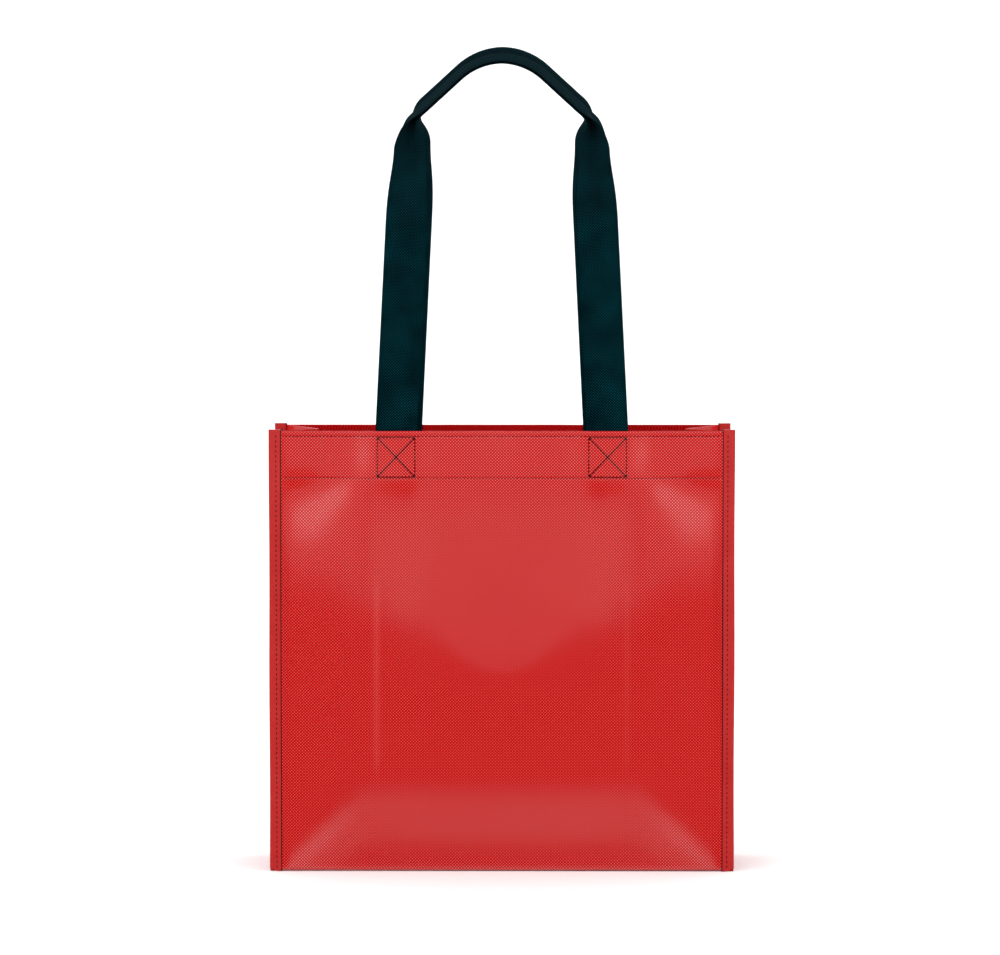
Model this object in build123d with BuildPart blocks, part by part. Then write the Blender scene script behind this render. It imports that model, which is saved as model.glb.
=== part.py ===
from build123d import *
import os
from math import atan2, cos, degrees, radians, sin, tan

os.makedirs("parts", exist_ok=True)

# A gusseted gift bag of laminated non-woven, standing open, with two webbing handles.
# Millimetres. The origin is the middle of the base, +Z is up and the front faces -Y.

# Bag body
panel_width = 374.0  # between the side seams
bag_height = 374.5  # floor to the folded edge of the mouth
bag_depth = 100.0  # outer face to outer face, front to back
fabric = 0.8  # one ply
hem_depth = 40.0  # turned in at the mouth
fold_gap = 0.3  # air between a wall and its turned-in hem
hem_side_gap = 3.0  # the hem stops this far short of the side seam
ply_gap = 0.05  # between plies that lie on each other
hinge_gap = 0.4  # between the base ply and the foot of a wall

# Bound side seams
seam_allowance = 9.0  # how far the fabric runs into the binding
binding_width = 10.0
tape = 0.4  # one ply of binding tape
binding_tab = 1.7  # the binding stands above the mouth by this
corner_gap = 0.6  # between upright and base bindings

# Gussets, flat at the foot and folded inwards at the mouth
tuck_start = 95.0  # height at which the crease begins
tuck_depth = 28.0  # how far the crease stands in at the mouth
crease_press = 0.6  # and how far below that height

# Base board
board_thickness = 1.5
board_end_gap = 3.2  # to each gusset
board_side_gap = 3.7  # to each wall

# Handles
strap_width = 35.0
strap_thickness = 1.6
strap_end_gap = 1.0  # between the sewn end and the free loop
leg_spacing = 178.8  # middle to middle of the front handle's legs
back_leg_inset = 2.4  # each back leg is sewn this much nearer the middle
handle_rise = 314.0  # mouth to the middle of the front grip
back_extra_rise = 7.5  # the back handle is sewn with this much more above the mouth
knee_drop = 109.0  # top of the grip down to where the legs begin to lean in
knee_inset = 10.4  # how much nearer the middle the legs are there than at the mouth
fold_start_drop = 89.0  # top of the grip down to where the strap begins to fold
fold_end_drop = 54.0  # and to where it is folded in half
fold_angles = (3, 30, 60, 90)  # of each half, on the way
shoulder_drop = 46.0  # top of the grip down to the corner of the arch
shoulder_inset = 15.5  # how much nearer the middle that corner is than the front legs' feet
crown_half = 18.9  # half the flat run at the top, before rounding
shoulder_radius = 15.0
crown_share = 0.98  # of the flat run that its rounding takes up
grip_air = 0.8  # between the halves of the folded strap
strap_lap = 1.5  # the folding stretch runs this far into the flat one and the grip

# Stitching
thread = 0.5
top_row_drop = 4.4  # below the mouth
hem_row_drop = 39.4
box_drop = 5.3  # top of a box stitch below the mouth
box_height = 33.2
box_width = 31.8
row_end_gap = 4.0  # a row stops this far from the side seam
binding_row = 4.0  # from the seam
grip_row = 2.5  # from the free edges of the folded strap

# What follows from them
outer = bag_depth / 2
half_width = panel_width / 2
hem_outer = outer - fabric - fold_gap
hem_inner = hem_outer - fabric
strap_outer = hem_inner - 2 * ply_gap
strap_mid = strap_outer - strap_thickness / 2
flange_outer = outer - fabric - ply_gap
flange_inner = flange_outer - fabric
binding_outer = outer + ply_gap + tape
binding_inner = flange_inner - ply_gap - tape
base_run = binding_inner - corner_gap  # half the length of the base seam's binding
seam_tip = half_width + seam_allowance
binding_tip = half_width + binding_width
wall_foot = fabric + hinge_gap
gusset_inner = half_width - fabric
base_allowance = tape + ply_gap  # underside of the base ply inside its binding
gusset_foot = base_allowance + fabric + ply_gap
base_binding_top = gusset_foot + fabric + ply_gap + tape

walls = (("front", -1), ("back", 1))  # name, and which way along Y it faces
sides = (("left", -1), ("right", 1))  # name, and which way along X it faces
leg = {"front": leg_spacing / 2, "back": leg_spacing / 2 - back_leg_inset}
grip_top = {"front": bag_height + handle_rise, "back": bag_height + handle_rise + back_extra_rise}
shoulder_half = leg_spacing / 2 - shoulder_inset
flank = atan2(shoulder_drop, shoulder_half - crown_half)
crown_radius = crown_share * crown_half / tan(flank / 2)


def slab(x_span, y_span, z_span):
    """A box between two limits along each axis."""
    spans = x_span, y_span, z_span
    with Locations(tuple(sum(span) / 2 for span in spans)):
        Box(*(abs(span[1] - span[0]) for span in spans))


def tuck(height, across):
    """How far a gusset stands in at a height and a distance across from its crease."""
    share = max(0.0, (height - tuck_start) / (bag_height - tuck_start))
    depth = crease_press + (tuck_depth - crease_press) * share
    return depth * (1 - abs(across) / flange_outer)


def gusset_band(out, x_outer, x_inner, reach, heights):
    """A sheet that follows the gusset's fold, between two distances from the bag's middle."""
    sections = []
    for height in heights:
        there = [(x_outer, across) for across in (-reach, 0, reach)]
        back = [(x_inner, across) for across in (reach, 0, -reach)]
        points = [(out * (x - tuck(height, across)), across) for x, across in there + back]
        with BuildSketch(Plane.XY.offset(height)) as section:
            with BuildLine():
                Polyline(*points, close=True)
            make_face()
        sections.append(section.sketch)
    loft(sections, ruled=True)


def folded_strap(fold, out):
    """The strap's section, folded along its middle by an angle, free edges outwards."""
    lean, half = radians(fold), strap_thickness / 2
    start = grip_air / 2 + half * sin(lean)  # from the middle to where a half begins
    length = strap_width / 2 - start
    end = start + length * cos(lean), length * sin(lean)
    normal = half * sin(lean), half * cos(lean)
    right = [
        (start + normal[0], -normal[1] - half * sin(lean)),
        (end[0] + normal[0], end[1] - normal[1]),
        (end[0] - normal[0], end[1] + normal[1]),
        (start - normal[0], normal[1] + half * sin(lean)),
    ]
    section = right + [(-x, y) for x, y in reversed(right)]
    with BuildLine() as outline:
        Polyline(*[(x, out * (y - end[1] / 2)) for x, y in section], close=True)
    make_face(outline.edges())


def knee(wall):
    """Where a handle's left leg begins to lean in, as (distance from the middle, height)."""
    return leg[wall] - knee_inset, grip_top[wall] - knee_drop


def arch_points(wall):
    """Left half of the grip's route from the folded strap to the crown, as (x, z)."""
    top = grip_top[wall]
    knee_half, knee_height = knee(wall)
    share = (top - fold_end_drop - knee_height) / (top - shoulder_drop - knee_height)
    start = knee_half + (shoulder_half - knee_half) * share
    return [
        (-start, top - fold_end_drop),
        (-shoulder_half, top - shoulder_drop),
        (-crown_half, top),
        (0, top),
    ]


def arch_route(wall):
    """The grip's route, its corners rounded."""
    FilletPolyline(*arch_points(wall), radius=[shoulder_radius, crown_radius])


def arch_plane(out):
    """The upright plane that the middle of a handle lies in."""
    return Plane.XZ.offset(-out * strap_mid)


def across_leg(wall, out, height, level=False):
    """The plane across the left leg at a height, square to the leg or level."""
    low, high = (leg[wall], bag_height), knee(wall)
    if height > high[1]:
        low, high = high, (shoulder_half, grip_top[wall] - shoulder_drop)
    slope = (low[0] - high[0]) / (high[1] - low[1])
    middle = -low[0] + slope * (height - low[1])
    lean = 0.0 if level else slope
    return Plane(origin=(middle, out * strap_mid, height), x_dir=(1, 0, -lean), z_dir=(lean, 0, 1))


def save(piece, name):
    """Labels a finished piece and writes it as a STEP file."""
    piece.part.label = name
    export_step(piece.part, f"parts/{name}.step")


# Base of the wrap, its side edges stepped up into the base seams' binding
with BuildPart() as bottom_panel:
    slab((-half_width + fold_gap, half_width - fold_gap), (-outer, outer), (0, fabric))
    step = gusset_inner - fabric  # where the ply steps up
    for side, out in sides:
        lift = base_allowance, base_allowance + fabric
        slab((out * step, out * seam_tip), (-base_run, base_run), lift)
save(bottom_panel, "bottom_panel")

# Front and back of the wrap, each with its hem folded in at the mouth
for wall, out in walls:
    with BuildPart() as panel:
        slab((-seam_tip, seam_tip), (out * outer, out * (outer - fabric)), (wall_foot, bag_height))
        hem_half = half_width - hem_side_gap
        hem_foot = bag_height - hem_depth
        slab((-hem_half, hem_half), (out * hem_outer, out * hem_inner), (hem_foot, bag_height))
        slab((-hem_half, hem_half), (out * outer, out * hem_inner), (bag_height - fabric, bag_height))
    save(panel, f"{wall}_panel")

# Gussets, each with its seam edges and its own hem
for side, out in sides:
    with BuildPart() as gusset:
        gusset_band(out, half_width, gusset_inner, flange_outer, (gusset_foot, tuck_start, bag_height))
        hem_face = gusset_inner - fold_gap
        hem_reach = hem_inner - hem_side_gap
        gusset_band(out, hem_face, hem_face - fabric, hem_reach, (bag_height - hem_depth, bag_height))
        gusset_band(out, half_width, hem_face - fabric, hem_reach, (bag_height - fabric, bag_height))
        for facing in (-1, 1):
            seam = facing * flange_outer, facing * flange_inner
            slab((out * gusset_inner, out * seam_tip), seam, (gusset_foot, bag_height))
        foot = gusset_foot, gusset_foot + fabric
        slab((out * (gusset_inner - crease_press), out * seam_tip), (-base_run, base_run), foot)
    save(gusset, f"{side}_gusset")

    with BuildPart() as gusset_stitching:
        near, far = half_width + ply_gap, half_width + ply_gap + thread
        for drop in (top_row_drop, hem_row_drop):
            row = bag_height - drop
            gusset_band(out, far, near, base_run - row_end_gap, (row - thread / 2, row + thread / 2))
    save(gusset_stitching, f"{side}_gusset_stitching")

    with BuildPart() as base_binding:
        slab((out * half_width, out * binding_tip), (-base_run, base_run), (0, base_binding_top))
        with Locations((out * (half_width + (binding_width - tape) / 2), 0, base_binding_top / 2)):
            Box(binding_width - tape, 2 * base_run, base_binding_top - 2 * tape, mode=Mode.SUBTRACT)
    save(base_binding, f"{side}_bottom_binding")

    with BuildPart() as base_row:
        row = half_width + binding_row
        row_foot = base_binding_top + ply_gap
        row_half = base_run - row_end_gap
        slab(
            (out * (row - thread / 2), out * (row + thread / 2)),
            (-row_half, row_half),
            (row_foot, row_foot + thread),
        )
    save(base_row, f"{side}_bottom_binding_stitching")

# Upright bindings, each a channel of tape around the wall's edge and the gusset's
for wall, facing in walls:
    for side, out in sides:
        with BuildPart() as binding:
            top = bag_height + binding_tab
            faces = facing * binding_outer, facing * binding_inner
            slab((out * half_width, out * binding_tip), faces, (tape, top))
            slot_middle = (
                out * (half_width + (binding_width - tape) / 2),
                facing * (binding_outer + binding_inner) / 2,
                (tape + top) / 2,
            )
            slot_depth = binding_outer - binding_inner - 2 * tape
            with Locations(slot_middle):
                Box(binding_width - tape, slot_depth, top - tape, mode=Mode.SUBTRACT)
        save(binding, f"{wall}_{side}_binding")

        with BuildPart() as binding_stitching:
            row = half_width + binding_row
            near = binding_outer + ply_gap
            slab(
                (out * (row - thread / 2), out * (row + thread / 2)),
                (facing * near, facing * (near + thread)),
                (row_end_gap, bag_height - row_end_gap),
            )
        save(binding_stitching, f"{wall}_{side}_binding_stitching")

# Loose board that stiffens the base
with BuildPart() as base_board:
    board_half_length = gusset_inner - board_end_gap
    board_half_width = outer - fabric - board_side_gap
    board_foot = fabric + 2 * ply_gap
    slab(
        (-board_half_length, board_half_length),
        (-board_half_width, board_half_width),
        (board_foot, board_foot + board_thickness),
    )
save(base_board, "base_board")

for wall, out in walls:
    # Free loop of a handle: two flat legs, folding in half into the grip
    fold_start, fold_end = grip_top[wall] - fold_start_drop, grip_top[wall] - fold_end_drop
    with BuildPart() as handle:
        foot = bag_height + strap_end_gap
        for height in (foot, knee(wall)[1], fold_start):
            with BuildSketch(across_leg(wall, out, height, level=height == foot)):
                Rectangle(strap_width, strap_thickness)
        loft(ruled=True)
        for fold in fold_angles:
            height = fold_start - strap_lap + (fold_end - fold_start) * fold / fold_angles[-1]
            with BuildSketch(across_leg(wall, out, height)):
                folded_strap(fold, out)
        with BuildSketch(across_leg(wall, out, fold_end + strap_lap)):
            folded_strap(fold_angles[-1], out)
        loft(ruled=True)
        with BuildLine(arch_plane(out)) as route:
            arch_route(wall)
        with BuildSketch(across_leg(wall, out, fold_end)):
            Rectangle(2 * strap_thickness + grip_air, strap_width / 2)
        sweep(path=route.line)
        mirror(about=Plane.YZ)
    save(handle, f"{wall}_handle")

    # Seam that closes the folded grip, near its free edges
    with BuildPart() as grip_stitching:
        with BuildLine(arch_plane(out)) as route:
            arch_route(wall)
        with BuildSketch(across_leg(wall, out, fold_end)):
            face = strap_thickness + grip_air / 2 + ply_gap + thread / 2
            with Locations((-face, out * (strap_width / 4 - grip_row))):
                Rectangle(thread, thread)
        sweep(path=route.line)
        mirror(about=Plane.YZ)
    save(grip_stitching, f"{wall}_grip_stitching")

    # Ends of the same strap, sewn flat against the hem inside the bag
    with BuildPart() as strap_ends:
        for side, way in sides:
            middle = way * leg[wall]
            slab(
                (middle - strap_width / 2, middle + strap_width / 2),
                (out * strap_outer, out * (strap_outer - strap_thickness)),
                (bag_height - hem_depth, bag_height),
            )
    save(strap_ends, f"{wall}_strap_ends")

    # Boxed crosses through wall, hem and strap
    for side, way in sides:
        with BuildPart() as box_stitching:
            with BuildSketch(Plane.XZ.offset(-out * (outer + ply_gap))):
                middle = way * leg[wall], bag_height - box_drop - box_height / 2
                with Locations(middle):
                    Rectangle(box_width, box_height)
                    Rectangle(box_width - 2 * thread, box_height - 2 * thread, mode=Mode.SUBTRACT)
                    turn = degrees(atan2(box_height, box_width))
                    length = box_width / cos(radians(turn)) - 2 * thread
                    Rectangle(length, thread, rotation=turn)
                    Rectangle(length, thread, rotation=-turn)
            extrude(amount=-out * thread)
        save(box_stitching, f"{wall}_{side}_box_stitching")

    # Rows that hold the hem
    for row_name, drop in (("top", top_row_drop), ("hem", hem_row_drop)):
        with BuildPart() as row_stitching:
            row, reach = bag_height - drop, half_width - row_end_gap
            near = outer + ply_gap
            slab((-reach, reach), (out * near, out * (near + thread)), (row - thread / 2, row + thread / 2))
        save(row_stitching, f"{wall}_{row_name}_stitching")
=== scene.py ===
import math

import bpy
import numpy as np
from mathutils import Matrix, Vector


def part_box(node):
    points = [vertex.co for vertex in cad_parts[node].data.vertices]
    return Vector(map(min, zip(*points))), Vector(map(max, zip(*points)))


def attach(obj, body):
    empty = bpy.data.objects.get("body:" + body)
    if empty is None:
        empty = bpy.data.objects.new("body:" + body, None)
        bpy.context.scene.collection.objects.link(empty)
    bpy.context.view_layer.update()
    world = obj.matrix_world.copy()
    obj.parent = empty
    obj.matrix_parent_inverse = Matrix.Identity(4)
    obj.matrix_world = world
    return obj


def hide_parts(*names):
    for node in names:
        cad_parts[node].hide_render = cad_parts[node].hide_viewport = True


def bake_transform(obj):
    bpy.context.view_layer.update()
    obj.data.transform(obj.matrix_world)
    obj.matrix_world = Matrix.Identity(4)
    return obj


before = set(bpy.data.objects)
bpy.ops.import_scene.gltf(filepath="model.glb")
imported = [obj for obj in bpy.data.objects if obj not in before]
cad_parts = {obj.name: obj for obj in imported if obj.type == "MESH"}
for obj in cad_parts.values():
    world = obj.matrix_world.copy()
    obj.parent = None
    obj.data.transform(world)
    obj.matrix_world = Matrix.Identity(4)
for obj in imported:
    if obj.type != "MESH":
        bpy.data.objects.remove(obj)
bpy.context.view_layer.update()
print("frame loaded:", len(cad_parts), "nodes")

mm = 0.001
walls = {"front": -1, "back": 1}  # which way along Y each wall faces
sides = {"left": -1, "right": 1}  # which way along X each side faces


# places taken from the frame, in metres

def middle(node):
    low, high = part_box(node)
    return (np.array(low) + np.array(high)) / 2


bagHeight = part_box("front_panel")[1].z
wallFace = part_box("back_panel")[1].y
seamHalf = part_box("front_right_binding")[0].x
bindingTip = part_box("front_right_binding")[1].x
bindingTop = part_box("front_right_binding")[1].z
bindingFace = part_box("back_right_binding")[1].y
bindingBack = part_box("back_right_binding")[0].y
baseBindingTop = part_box("right_bottom_binding")[1].z
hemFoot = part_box("front_strap_ends")[0].z
strapPlane = middle("back_strap_ends")[1]
strapWidth = 35 * mm
legHalf = {wall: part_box(wall + "_strap_ends")[1].x - strapWidth / 2 for wall in walls}
gripTop = {wall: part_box(wall + "_handle")[1].z - 2 * mm for wall in walls}


# numpy helpers

# 0 below low, 1 above high, and t*t*(3 - 2t) between them.
def smooth(low, high, value):
    t = np.clip((value - low) / (high - low), 0, 1)
    return t * t * (3 - 2 * t)


def unit(vectors):
    return vectors / np.maximum(np.linalg.norm(vectors, axis=-1, keepdims=True), 1e-12)


# Cross product of the two differences along a grid's rows and columns.
def gridNormals(points):
    along = np.gradient(points, axis=0)
    across = np.gradient(points, axis=1)
    return unit(np.cross(across, along))


def gridQuads(rows, columns):
    index = np.arange(rows * columns).reshape(rows, columns)
    corners = index[:-1, :-1], index[:-1, 1:], index[1:, 1:], index[1:, :-1]
    return np.stack(corners, axis=-1).reshape(-1, 4)


# The four uniform cubic B-spline weights at t between two points.
def splineWeights(t):
    inner = 3 * t**3 - 6 * t**2 + 4, -3 * t**3 + 3 * t**2 + 3 * t + 1
    return np.stack([(1 - t) ** 3, *inner, t**3]) / 6


# The cubic B-spline surface over a grid of values, at fractions of its height and width.
def sampleGrid(grid, down, along):
    padded = np.pad(grid, 1, mode="reflect", reflect_type="odd")
    rows, columns = grid.shape
    r = np.clip(down, 0, 1) * (rows - 1)
    c = np.clip(along, 0, 1) * (columns - 1)
    i, j = np.minimum(r.astype(int), rows - 2), np.minimum(c.astype(int), columns - 2)
    wr, wc = splineWeights(r - i), splineWeights(c - j)
    total = 0.0
    for a in range(4):
        for b in range(4):
            row, column = np.minimum(i + a, rows + 1), np.minimum(j + b, columns + 1)
            total = total + wr[a] * wc[b] * padded[row, column]
    return total


def addObject(name, data):
    item = bpy.data.objects.new(name, data)
    bpy.context.scene.collection.objects.link(item)
    return item


# A mesh object from arrays, its faces turned to point outwards.
def makeMesh(name, points, faces, uv=None, attributes=None, material=None, sharp=50):
    a, b, c = (points[faces[:, k]] for k in (0, 1, 2))
    d = points[faces[:, 3]]
    volume = np.einsum("ij,ij->", a, np.cross(b, c)) + np.einsum("ij,ij->", a, np.cross(c, d))
    if volume < 0:
        faces = faces[:, ::-1]
    rows = [list(dict.fromkeys(row)) for row in faces.tolist()]  # a repeated corner leaves a triangle
    mesh = bpy.data.meshes.new(name)
    mesh.from_pydata(points.tolist(), [], rows)
    mesh.polygons.foreach_set("use_smooth", np.ones(len(mesh.polygons), bool))
    if uv is not None:
        loops = np.zeros(len(mesh.loops), np.int32)
        mesh.loops.foreach_get("vertex_index", loops)
        mesh.uv_layers.new(name="cloth").data.foreach_set("uv", uv[loops].astype(np.float32).ravel())
    for key, values in (attributes or {}).items():
        mesh.attributes.new(key, "FLOAT", "POINT").data.foreach_set("value", values.astype(np.float32))
    mesh.set_sharp_from_angle(angle=math.radians(sharp))
    if material:
        mesh.materials.append(material)
    return addObject(name, mesh)


bagMiddle = np.array([0, 0, 0.15])


# A closed sheet: the grid offset half its thickness each way, and a strip round its edge. Faces that
# turn towards the bag's middle count as inside, and the cloth's colour is darkened there as painted
# shade.
def makeShell(name, points, thickness, uv, material, attributes=None, outerFrom=0.0):
    rows, columns = points.shape[:2]
    normals = gridNormals(points)
    outer, inner = points + normals * thickness / 2, points - normals * thickness / 2
    count = rows * columns
    quads = gridQuads(rows, columns)
    index = np.arange(count).reshape(rows, columns)
    rim = np.concatenate([index[0, :-1], index[:-1, -1], index[-1, :0:-1], index[:0:-1, 0]])
    after = np.roll(rim, -1)
    strip = np.stack([rim, after, after + count, rim + count], axis=-1)
    faces = np.concatenate([quads[:, ::-1], quads + count, strip])
    both = np.concatenate([outer.reshape(-1, 3), inner.reshape(-1, 3)])
    flatUv = np.tile(uv.reshape(-1, 2), (2, 1))
    doubled = {key: np.tile(values.reshape(-1), 2) for key, values in (attributes or {}).items()}
    outward = (unit((points - bagMiddle) * (0.3, 1.0, 0.1)) * normals).sum(axis=-1).reshape(-1)
    doubled["inside"] = (np.concatenate([outward, -outward]) < outerFrom).astype(float)
    return makeMesh(name, both, faces, flatUv, doubled, material)


# A closed tube through rings of points, each end drawn in to its middle.
def makeTube(name, rings, material, uv=None, attributes=None):
    count, around = rings.shape[:2]
    index = np.arange(count * around).reshape(count, around)
    nextRound = np.roll(index, -1, axis=1)
    sideQuads = np.stack([index[:-1], nextRound[:-1], nextRound[1:], index[1:]], axis=-1).reshape(-1, 4)
    ends = np.stack([rings[0].mean(0), rings[-1].mean(0)])
    first, last = count * around, count * around + 1
    capA = np.stack([nextRound[0], index[0], np.full(around, first), np.full(around, first)], axis=-1)
    capB = np.stack([index[-1], nextRound[-1], np.full(around, last), np.full(around, last)], axis=-1)
    points = np.concatenate([rings.reshape(-1, 3), ends])
    faces = np.concatenate([sideQuads, capA, capB])
    if uv is not None:
        uv = np.concatenate([uv.reshape(-1, 2), uv[0, :1], uv[-1, :1]])
    extra = {}
    for key, values in (attributes or {}).items():
        extra[key] = np.concatenate([values.reshape(-1), values[0, :1], values[-1, :1]])
    return makeMesh(name, points, faces, uv, extra, material)


# materials

# A socket in a material. Sums, differences and products of wires add Math nodes.
class Wire:
    def __init__(self, tree, socket):
        self.tree, self.socket = tree, socket

    def math(self, operation, first, second=None):
        node = self.tree.nodes.new("ShaderNodeMath")
        node.operation = operation
        for value, socket in zip((first, second), node.inputs):
            if isinstance(value, Wire):
                self.tree.links.new(value.socket, socket)
            elif value is not None:
                socket.default_value = value
        return Wire(self.tree, node.outputs[0])

    def __add__(self, other):
        return self.math("ADD", self, other)

    def __sub__(self, other):
        return self.math("SUBTRACT", self, other)

    def __rsub__(self, other):
        return self.math("SUBTRACT", other, self)

    def __mul__(self, other):
        return self.math("MULTIPLY", self, other)

    def cosine(self):
        return self.math("COSINE", self)

    def clipped(self):
        return self.math("MINIMUM", self.math("MAXIMUM", self, 0.0), 1.0)

    __radd__ = __add__
    __rmul__ = __mul__


# A material with a Principled shader, and one method that adds any node.
class Finish:
    def __init__(self, name, **fixed):
        self.material = bpy.data.materials.new(name)
        self.material.use_nodes = True
        self.tree = self.material.node_tree
        self.shader = self.tree.nodes["Principled BSDF"]
        for socket, value in fixed.items():
            self.shader.inputs[socket.replace("_", " ")].default_value = value

    def add(self, kind, settings=None, values=None, output=0):
        node = self.tree.nodes.new("ShaderNode" + kind)
        for key, value in (settings or {}).items():
            setattr(node, key, value)
        for key, value in (values or {}).items():
            self.plug(node.inputs[key], value)
        return Wire(self.tree, node.outputs[output])

    def plug(self, socket, value):
        if isinstance(value, Wire):
            self.tree.links.new(value.socket, socket)
        else:
            socket.default_value = value

    def feed(self, socket, value):
        self.plug(self.shader.inputs[socket], value)

    def mix(self, share, first, second):
        inputs = {"Factor": share, "A": first, "B": second}
        node = self.tree.nodes.new("ShaderNodeMix")
        node.data_type = "RGBA"
        for key, value in inputs.items():
            socket = next(s for s in node.inputs if s.name == key and s.enabled)
            if isinstance(value, tuple):
                value = (*value, 1)
            self.plug(socket, value)
        return Wire(self.tree, next(s for s in node.outputs if s.enabled))

    # Distance across and along the cloth, in metres, from the piece's own UV map.
    def clothPlace(self):
        uv = self.add("UVMap", {"uv_map": "cloth"})
        apart = {"Vector": uv}
        return self.add("SeparateXYZ", None, apart, 0), self.add("SeparateXYZ", None, apart, 1)

    # Staggered dots: cos(2 pi u / pitch) times cos(2 pi v / pitch), from 0 to 1.
    def lattice(self, pitch):
        u, v = self.clothPlace()
        wave = 2 * math.pi / pitch
        return (u * wave).cosine() * (v * wave).cosine() * 0.5 + 0.5

    # A point attribute of the mesh.
    def mark(self, name):
        return self.add("Attribute", {"attribute_name": name}, output=2)

    def noise(self, scale, detail):
        place = self.add("TexCoord", output=3)
        return self.add("TexNoise", None, {"Vector": place, "Scale": scale, "Detail": detail})

    def bump(self, height, distance):
        values = {"Height": height, "Distance": distance, "Strength": 1.0}
        self.feed("Normal", self.add("Bump", None, values))


clothLook = {
    "pitch": 2.62 * mm,  # between dots in a row
    "depth": 0.22 * mm,
    "pit": (0.378, 0.0001, 0.0005),
    # the raised dots' colour, lighter than the red: a painted glint
    "glintRidge": (0.56, 0.084, 0.076),
    "even": 0.11,  # share of the painted glint colour where the dots are pressed out
    "creaseSheenShare": 0.16,  # painted sheen along the packing creases, in the base colour
    "roughness": 0.40,
    "film": 0.12,  # roughness of the laminated film
    "filmIndex": 2.0,
}


# Embossed laminated non-woven: dark pits between raised dots, painted lighter as glints, under a glossy
# film, which is stretched smoother over the middle of a wall. Packing creases are painted lighter as
# sheen, and inside faces darker as shade.
def redCloth():
    look = clothLook
    coat = {"Coat_Roughness": look["film"], "Coat_IOR": look["filmIndex"]}
    finish = Finish("embossedRedCloth", Specular_IOR_Level=0.0, **coat)
    dots = finish.lattice(look["pitch"])
    cloud = finish.noise(11.0, 3.0)
    fibre = finish.noise(1500.0, 2.0)
    smoothed = finish.mark("smoothed")
    inside = finish.mark("inside")
    creaseSheen = finish.mark("creaseSheen")
    crisp = 1 - smoothed * 0.9
    # sharpDots paints the raised dots in the lighter glint colour, weaker where the film is smoothed
    sharpDots = ((dots - 0.66) * 5.0).clipped()
    # the packing creases are painted lighter here as sheen
    share = sharpDots * crisp + smoothed * 0.9 * look["even"] + creaseSheen * look["creaseSheenShare"]
    # faces inside the bag are darkened by 0.6 as painted shade
    shade = ((share + (fibre - 0.5) * 0.08 + (cloud - 0.5) * 0.04) * (1 - inside * 0.6)).clipped()
    finish.feed("Base Color", finish.mix(shade, look["pit"], look["glintRidge"]))
    finish.feed("Roughness", look["roughness"] + (cloud - 0.5) * 0.10)
    film = sharpDots * crisp * 1.2 + smoothed * 0.26 + 0.15 + (cloud - 0.5) * 0.10
    finish.feed("Coat Weight", (film * (1 - inside * 0.9)).clipped())
    finish.bump(dots * crisp + fibre * 0.12, look["depth"])
    return finish.material


tapeLook = {
    "dark": (0.33, 0.008, 0.008),
    "light": (0.40, 0.020, 0.018),
    "seam": (0.03, 0.0005, 0.001),  # painted shadow in the groove beside the wall
}


# Smooth binding tape, faintly clouded, with painted shadow where it meets the wall.
def redTape():
    look = tapeLook
    finish = Finish("redBindingTape", Coat_Weight=0.7, Coat_Roughness=0.16, Specular_IOR_Level=0.03)
    # seam marks the painted shadow along the tape's inner edge
    seam = finish.mark("seam")
    cloud = finish.noise(60.0, 4.0)
    fibre = finish.noise(1800.0, 2.0)
    plain = finish.mix(cloud, look["dark"], look["light"])
    finish.feed("Base Color", finish.mix(seam, plain, look["seam"]))
    finish.feed("Roughness", 0.42 + (fibre - 0.5) * 0.2)
    finish.bump(fibre + cloud * 0.5, 0.08 * mm)
    return finish.material


strapLook = {
    "pitch": 2.4 * mm,
    "depth": 0.20 * mm,
    # pits painted near black as shade, dots painted lit teal as glints
    "pit": (0.0002, 0.0006, 0.0012),
    "glintRidge": (0.0012, 0.080, 0.102),
    "grip": (0.0030, 0.0105, 0.0135),
}


# Dark teal tape with raised dots, painted near black in the pits as shade and lit teal on the dots as
# glints; worn smooth and greyer where it is folded.
def strapCloth():
    look = strapLook
    finish = Finish("darkTealTape", Coat_Weight=0.012, Coat_Roughness=0.22, Specular_IOR_Level=0.0)
    folded = finish.mark("folded")
    dots = finish.lattice(look["pitch"])
    cloud = finish.noise(45.0, 3.0)
    fibre = finish.noise(1500.0, 2.0)
    flat = 1 - folded
    sharpDots = ((dots - 0.67) * 5.0).clipped()
    shade = (sharpDots * (cloud * 1.6 - 0.1) + (fibre - 0.5) * 0.06).clipped()
    woven = finish.mix(shade, look["pit"], look["glintRidge"])
    finish.feed("Base Color", finish.mix((folded * 0.8).clipped(), woven, look["grip"]))
    finish.feed("Roughness", 0.48 + (cloud - 0.5) * 0.2)
    finish.bump(dots * (flat * 0.8 + 0.2) + fibre * 0.3, look["depth"])
    return finish.material


# Sewing thread, finely mottled between two shades.
def threadFinish(name, dark, light):
    finish = Finish(name, Specular_IOR_Level=0.02)
    twist = finish.noise(2600.0, 1.0)
    finish.feed("Base Color", finish.mix(twist, dark, light))
    finish.feed("Roughness", 0.55 + (twist - 0.5) * 0.3)
    finish.bump(twist, 0.08 * mm)
    return finish.material


# Greyboard: flecked, matt and slightly uneven.
def boardFinish():
    finish = Finish("greyboard")
    fleck = finish.noise(900.0, 5.0)
    cloud = finish.noise(25.0, 3.0)
    shade = (fleck * 0.6 + cloud * 0.5).clipped()
    finish.feed("Base Color", finish.mix(shade, (0.20, 0.185, 0.165), (0.42, 0.40, 0.37)))
    finish.feed("Roughness", 0.78 + (fleck - 0.5) * 0.2)
    finish.bump(fleck, 0.06 * mm)
    return finish.material


cloth, tape, strap = redCloth(), redTape(), strapCloth()
redThread = threadFinish("redThread", (0.022, 0.0003, 0.0006), (0.070, 0.0010, 0.0015))
blackThread = threadFinish("blackThread", (0.0004, 0.0004, 0.0004), (0.003, 0.003, 0.003))
print("materials made")


# walls of the wrap

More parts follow.
